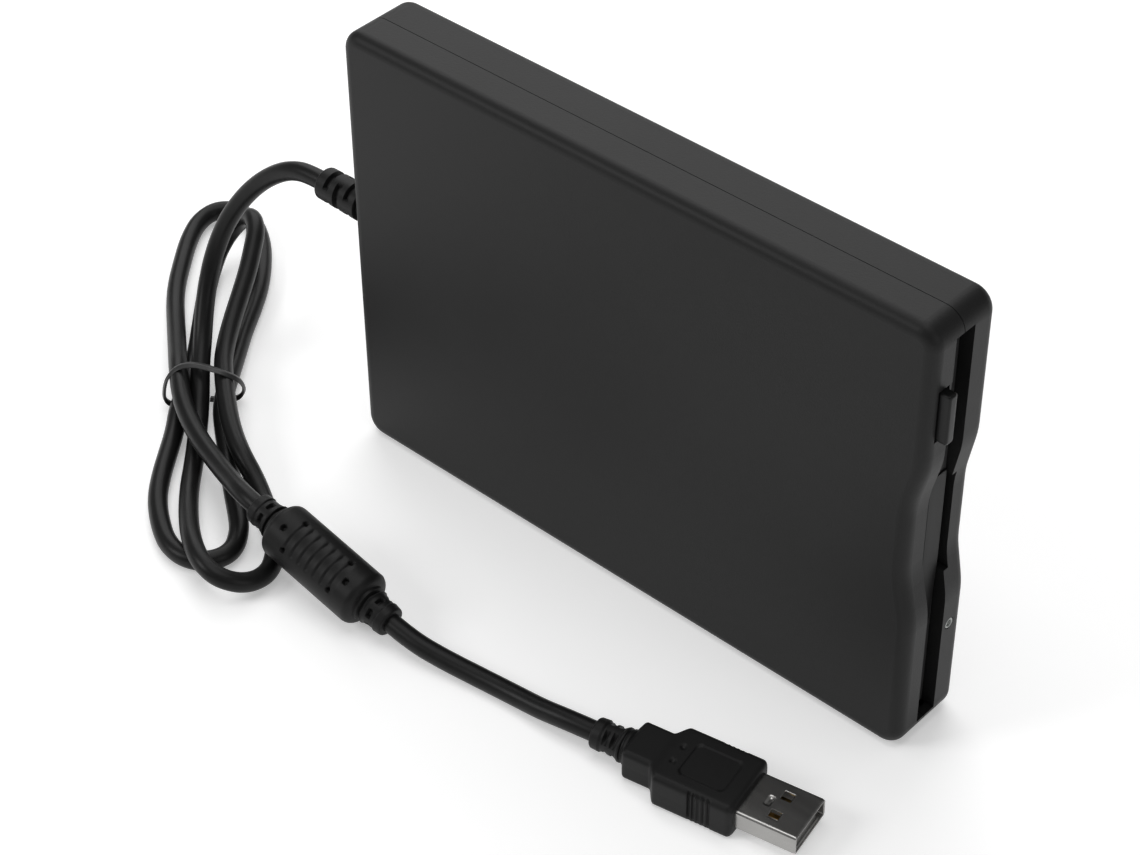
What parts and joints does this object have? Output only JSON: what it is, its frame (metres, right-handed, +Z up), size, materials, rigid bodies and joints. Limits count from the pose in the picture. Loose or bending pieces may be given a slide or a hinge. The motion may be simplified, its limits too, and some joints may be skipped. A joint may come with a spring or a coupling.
{
  "type": "external floppy disk drive",
  "caption": "Flat box-shaped external disk drive with a slot, eject button and captive cord that ends in a plug; slide, holder, door, heads and spindle move.",
  "frame": {"origin": "middle of the long edge that the drive stands on, on the lower side of the bottom cover", "axes": "+X along the case to the slotted front end, -Y out of the top cover's big face, +Z up"},
  "size_m": [0.2337, 0.0991, 0.104],
  "materials": {
    "case_black": "fine moulded texture, matt",
    "button_black": "fine moulded texture",
    "door_black": "smooth, matt",
    "guide_black": "smooth, matt",
    "foot_rubber": "soft",
    "cord_black": "soft vinyl, semi-gloss",
    "mould_black": "soft moulded vinyl, satin",
    "tie_black": "vinyl over a wire",
    "ferrite_grey": "sintered",
    "frame_steel": "zinc-plated sheet",
    "shaft_steel": "ground",
    "screw_steel": "zinc-plated",
    "spring_steel": "drawn wire",
    "board_green": "solder mask",
    "chip_black": "moulded epoxy",
    "winding_copper": "enamelled copper",
    "bearing_bronze": "sintered bronze",
    "part_white": "moulded",
    "part_grey": "moulded",
    "head_ceramic": "polished",
    "ribbon_amber": "polyimide film",
    "lens_clear": "clear",
    "led_green": "cast resin",
    "shell_nickel": "nickel-plated",
    "contact_gold": "gold-plated"
  },
  "bodies": {
    "housing": {"top_cover": "case_black", "bottom_cover": "case_black", "rubber_feet": "foot_rubber", "case_screws": "screw_steel", "cable_grommet": "mould_black", "entry_guide": "guide_black", "led_lens": "lens_clear", "status_led": "led_green", "drive_chassis": "frame_steel", "drive_lid": "frame_steel", "drive_screws": "screw_steel", "slide_springs": "spring_steel", "latch_pivot": "shaft_steel", "latch_spring": "spring_steel", "spindle_board": "board_green", "stator": "winding_copper", "spindle_bearing": "bearing_bronze", "stepper_motor": "frame_steel", "screw_bearing": "part_white", "guide_rod": "shaft_steel", "rod_clamps": "part_grey", "drive_board": "board_green", "board_chips": "chip_black", "head_ribbon": "ribbon_amber", "disk_switches": "chip_black", "usb_board": "board_green", "usb_chips": "chip_black", "ribbon_cable": "part_white", "cable_socket": "part_white", "inner_lead": "cord_black", "door_spring": "spring_steel", "cable_lead": "cord_black", "cable_hank": "cord_black", "cable_tail": "cord_black", "twist_tie": "tie_black", "ferrite_cover": "mould_black", "ferrite_core": "ferrite_grey", "plug_body": "mould_black", "plug_shell": "shell_nickel", "plug_tongue": "part_white", "plug_contacts": "contact_gold"},
    "door": {"dust_door": "door_black"},
    "slide": {"slide_plate": "frame_steel", "eject_button": "button_black"},
    "holder": {"disk_holder": "frame_steel", "holder_pins": "shaft_steel"},
    "carriage": {"head_carriage": "part_grey", "lower_head": "head_ceramic", "arm_hinge_pin": "shaft_steel"},
    "arm": {"upper_head_arm": "part_grey", "upper_head": "head_ceramic"},
    "lead_shaft": {"lead_screw": "shaft_steel"},
    "spindle": {"rotor": "frame_steel", "spindle_hub": "part_grey", "spindle_shaft": "shaft_steel", "drive_pin": "part_grey"},
    "latch": {"latch_lever": "frame_steel"},
    "protect_switch": {"protect_plunger": "part_white"},
    "density_switch": {"density_plunger": "part_white"},
    "disk_switch": {"disk_plunger": "part_white"}
  },
  "joints": [
    {"name": "eject_slide", "type": "slide", "parent": "housing", "child": "slide", "axis": [1, 0, 0], "range_m": [0, 0.004], "deforming": ["slide_springs"]},
    {"name": "holder_drop", "type": "slide", "parent": "housing", "child": "holder", "axis": [0, 1, 0], "range_m": [0, 0.002]},
    {"name": "carriage_travel", "type": "slide", "parent": "housing", "child": "carriage", "axis": [1, 0, 0], "range_m": [0, 0.0148], "deforming": ["head_ribbon"]},
    {"name": "arm_lift", "type": "hinge", "parent": "carriage", "child": "arm", "pos_m": [-0.045, -0.0027, 0.052], "axis": [0, 0, 1], "range_deg": [0, 4.8]},
    {"name": "screw_turn", "type": "hinge", "parent": "housing", "child": "lead_shaft", "pos_m": [-0.04, 0.0003, 0.064], "axis": [1, 0, 0], "range_deg": [0, 1421]},
    {"name": "latch_turn", "type": "hinge", "parent": "housing", "child": "latch", "pos_m": [-0.02, -0.0039, 0.088], "axis": [0, 1, 0], "range_deg": [0, 73], "stiffness_Nm_per_rad": 0.002, "deforming": ["latch_spring"]},
    {"name": "door_swing", "type": "hinge", "parent": "housing", "child": "door", "pos_m": [0.0694, -0.0046, 0.052], "axis": [0, 0, 1], "range_deg": [0, 75], "stiffness_Nm_per_rad": 0.004, "springref_deg": -11.46, "deforming": ["door_spring"]},
    {"name": "spindle_spin", "type": "hinge", "parent": "housing", "child": "spindle", "pos_m": [0.0205, 0.003, 0.052], "axis": [0, 1, 0], "continuous": true},
    {"name": "protect_press", "type": "slide", "parent": "housing", "child": "protect_switch", "axis": [0, 1, 0], "range_m": [0, 0.0008], "stiffness_N_per_m": 150},
    {"name": "density_press", "type": "slide", "parent": "housing", "child": "density_switch", "axis": [0, 1, 0], "range_m": [0, 0.0008], "stiffness_N_per_m": 150},
    {"name": "disk_press", "type": "slide", "parent": "housing", "child": "disk_switch", "axis": [0, 1, 0], "range_m": [0, 0.0008], "stiffness_N_per_m": 150}
  ],
  "couplings": [
    {"joint": "holder_drop", "follows": "eject_slide", "ratio": 0.5},
    {"joint": "arm_lift", "follows": "eject_slide", "rad_per_m": 19.8},
    {"joint": "screw_turn", "follows": "carriage_travel", "rad_per_m": 1675.5}
  ]
}
